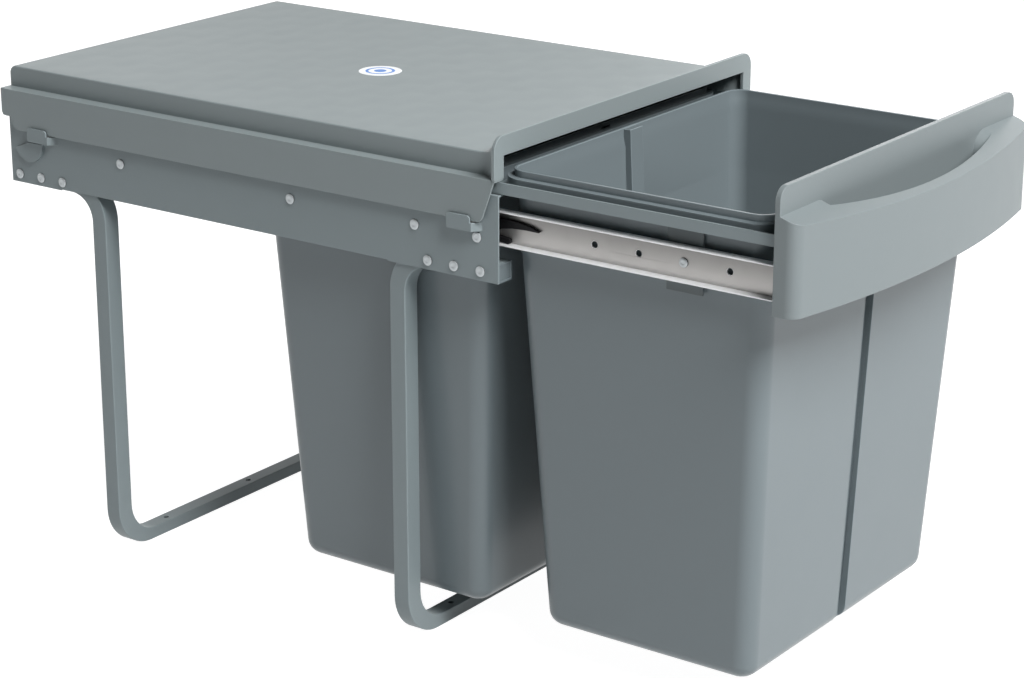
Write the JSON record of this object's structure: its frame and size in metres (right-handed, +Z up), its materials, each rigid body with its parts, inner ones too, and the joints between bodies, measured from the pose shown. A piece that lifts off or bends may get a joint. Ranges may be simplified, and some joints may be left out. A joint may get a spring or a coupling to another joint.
{
  "type": "pull-out waste bin frame",
  "caption": "Pull-out bin frame for a base cabinet: bent tube legs, moulded lid, ball slides, hanging bins and a bowed handle front.",
  "frame": {"origin": "centre of the floor screw pattern, on the cabinet floor", "axes": "+Z up, -Y towards the front that the drawer comes out of, +X to the right seen from the front"},
  "size_m": [0.346, 0.7446, 0.4073],
  "materials": {
    "frame_paint": "satin",
    "zinc_slide": "brushed",
    "rivet_zinc": "satin",
    "ball_steel": "polished",
    "lid_plastic": "satin",
    "front_plastic": "satin",
    "bin_plastic": "satin",
    "black_plastic": "matte",
    "stop_rubber": "matte",
    "cap_plastic": "satin",
    "label_film": "gloss"
  },
  "bodies": {
    "frame": {"side_panel_left": "frame_paint", "side_panel_right": "frame_paint", "front_leg_frame": "frame_paint", "rear_leg_frame": "frame_paint", "tube_end_caps": "cap_plastic", "leg_rivets": "rivet_zinc", "slide_rivets": "rivet_zinc", "slide_cabinet_member_left": "zinc_slide", "slide_cabinet_member_right": "zinc_slide", "slide_bumpers": "stop_rubber"},
    "lid": {"lid": "lid_plastic", "lid_label": "label_film"},
    "middle_members": {"slide_middle_member_left": "zinc_slide", "slide_middle_member_right": "zinc_slide"},
    "outer_cages": {"outer_ball_cage_left": "zinc_slide", "outer_ball_cage_right": "zinc_slide", "outer_balls": "ball_steel"},
    "inner_cages": {"inner_ball_cage_left": "zinc_slide", "inner_ball_cage_right": "zinc_slide", "inner_balls": "ball_steel"},
    "drawer": {"slide_drawer_member_left": "zinc_slide", "slide_drawer_member_right": "zinc_slide", "carriage_ring": "frame_paint", "hanger_brackets": "frame_paint", "hanger_rivets": "rivet_zinc", "front_brackets": "frame_paint", "handle_front": "front_plastic", "handle_screws": "rivet_zinc", "lever_pins": "rivet_zinc"},
    "lever_left": {"release_lever_left": "black_plastic"},
    "lever_right": {"release_lever_right": "black_plastic"},
    "front_bin": {"front_bin": "bin_plastic"},
    "rear_bin": {"rear_bin": "bin_plastic"}
  },
  "joints": [
    {"name": "middle_slide", "type": "slide", "parent": "frame", "child": "middle_members", "axis": [0, -1, 0], "range_m": [0, 0.2226]},
    {"name": "drawer_slide", "type": "slide", "parent": "middle_members", "child": "drawer", "axis": [0, -1, 0], "range_m": [-0.2226, 0]},
    {"name": "outer_cage_roll", "type": "slide", "parent": "frame", "child": "outer_cages", "axis": [0, -1, 0], "range_m": [0, 0.1113]},
    {"name": "inner_cage_roll", "type": "slide", "parent": "middle_members", "child": "inner_cages", "axis": [0, -1, 0], "range_m": [-0.1113, 0]},
    {"name": "front_bin_lift", "type": "slide", "parent": "drawer", "child": "front_bin", "axis": [0, 0, 1], "range_m": [0, 0.008]},
    {"name": "rear_bin_lift", "type": "slide", "parent": "drawer", "child": "rear_bin", "axis": [0, 0, 1], "range_m": [0, 0.008]},
    {"name": "lid_lift_off", "type": "slide", "parent": "frame", "child": "lid", "axis": [0, 0, 1], "range_m": [0, 0.1]},
    {"name": "lever_left_press", "type": "hinge", "parent": "drawer", "child": "lever_left", "pos_m": [-0.15575, -0.216, 0.33585], "axis": [-1, 0, 0], "range_deg": [0, 6], "stiffness_Nm_per_rad": 0.05},
    {"name": "lever_right_press", "type": "hinge", "parent": "drawer", "child": "lever_right", "pos_m": [0.15575, -0.216, 0.33585], "axis": [-1, 0, 0], "range_deg": [0, 6], "stiffness_Nm_per_rad": 0.05}
  ],
  "couplings": [
    {"joint": "outer_cage_roll", "follows": "middle_slide", "ratio": 0.5},
    {"joint": "inner_cage_roll", "follows": "drawer_slide", "ratio": 0.5}
  ]
}
